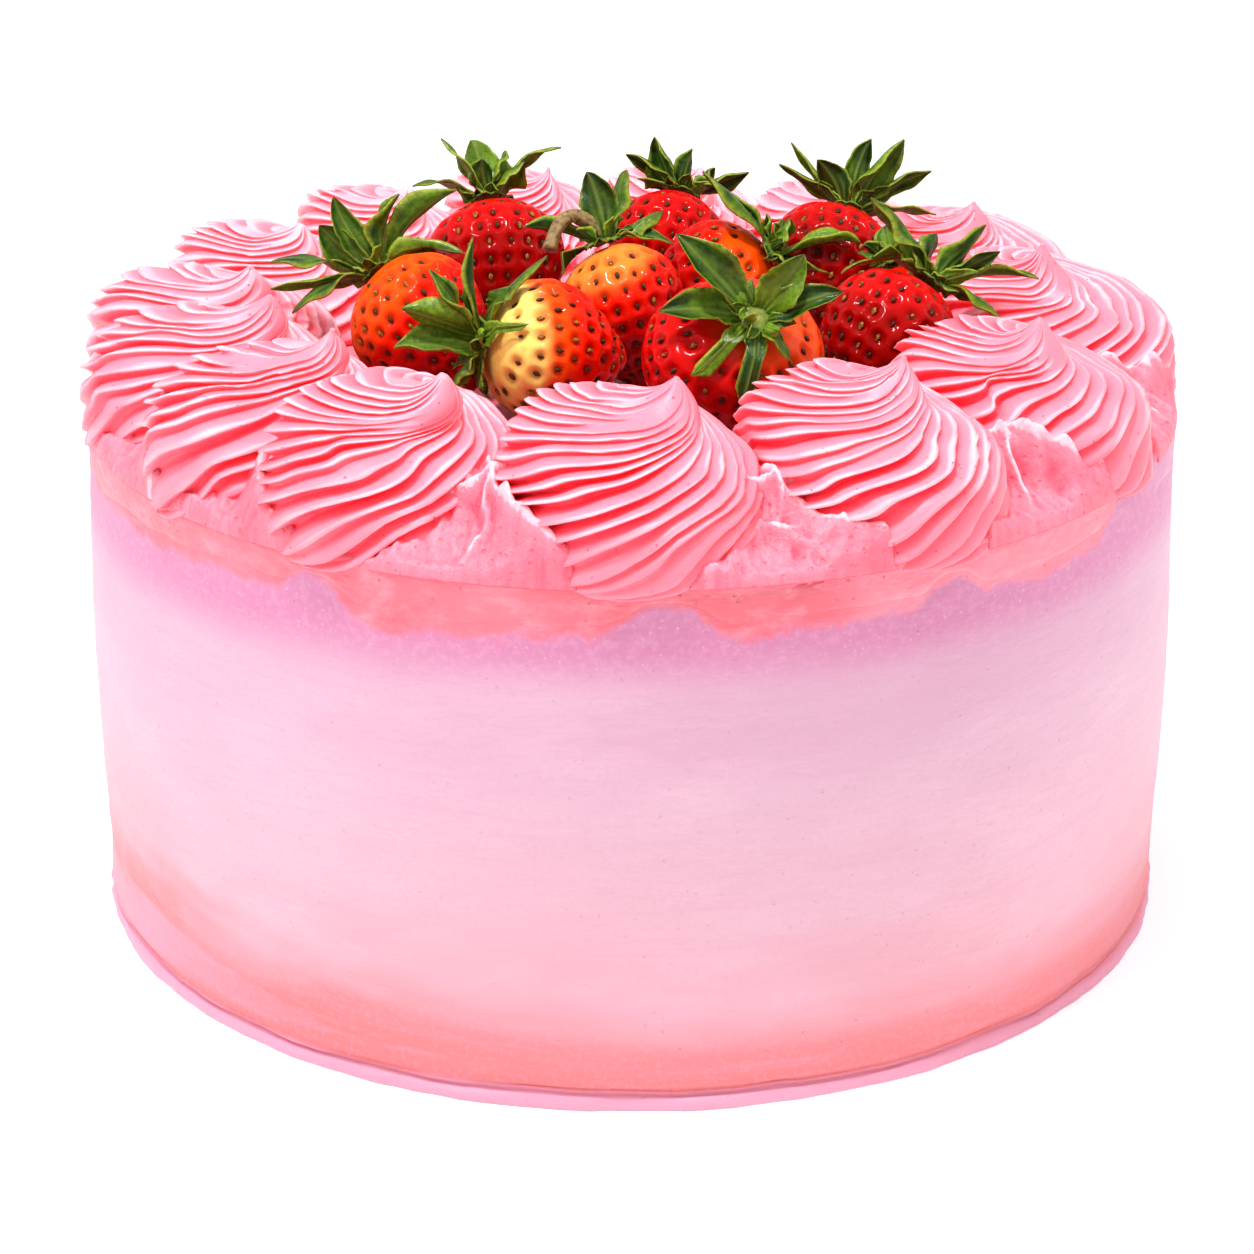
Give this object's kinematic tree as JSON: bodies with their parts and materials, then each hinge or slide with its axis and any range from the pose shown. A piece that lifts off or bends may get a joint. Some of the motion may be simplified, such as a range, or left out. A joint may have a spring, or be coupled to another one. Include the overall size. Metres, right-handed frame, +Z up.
{
  "type": "ice cream cake",
  "caption": "Round iced ice cream cake with a straight pink wall, a ring of ridged piped icing swirls round its top and whole strawberries heaped in the middle.",
  "frame": {"origin": "centre of the flat underside of the cake", "axes": "+Z up, -Y the front side that the picture shows, +X to the right as seen from the front"},
  "size_m": [0.2194, 0.2192, 0.1474],
  "materials": {
    "icing_wall": "smooth, slightly moist buttercream, pale pink with a lilac band and a coral foot",
    "icing_top": "smeared salmon pink buttercream",
    "icing_piped": "piped rose pink buttercream with soft edges",
    "berry_skin": "wet, glossy strawberry skin with seeds",
    "leaf_green": "matt green leaf",
    "stalk_brown": "dry brown stalk"
  },
  "bodies": {
    "root": {"cake_body": "icing_wall", "top_layer": "icing_top", "swirl_01": "icing_piped", "swirl_02": "icing_piped", "swirl_03": "icing_piped", "swirl_04": "icing_piped", "swirl_05": "icing_piped", "swirl_06": "icing_piped", "swirl_07": "icing_piped", "swirl_08": "icing_piped", "swirl_09": "icing_piped", "swirl_10": "icing_piped", "swirl_11": "icing_piped", "swirl_12": "icing_piped", "swirl_13": "icing_piped", "swirl_14": "icing_piped", "strawberry_01": "berry_skin", "strawberry_02": "berry_skin", "strawberry_03": "berry_skin", "strawberry_04": "berry_skin", "strawberry_05": "berry_skin", "strawberry_06": "berry_skin", "strawberry_07": "berry_skin", "strawberry_08": "berry_skin", "strawberry_09": "berry_skin", "strawberry_10": "berry_skin", "calyx_01": "leaf_green", "calyx_02": "leaf_green", "calyx_03": "leaf_green", "calyx_04": "leaf_green", "calyx_05": "leaf_green", "calyx_06": "leaf_green", "calyx_07": "leaf_green", "calyx_08": "leaf_green", "calyx_09": "leaf_green", "calyx_10": "leaf_green", "stalk_04": "stalk_brown"}
  },
  "joints": []
}
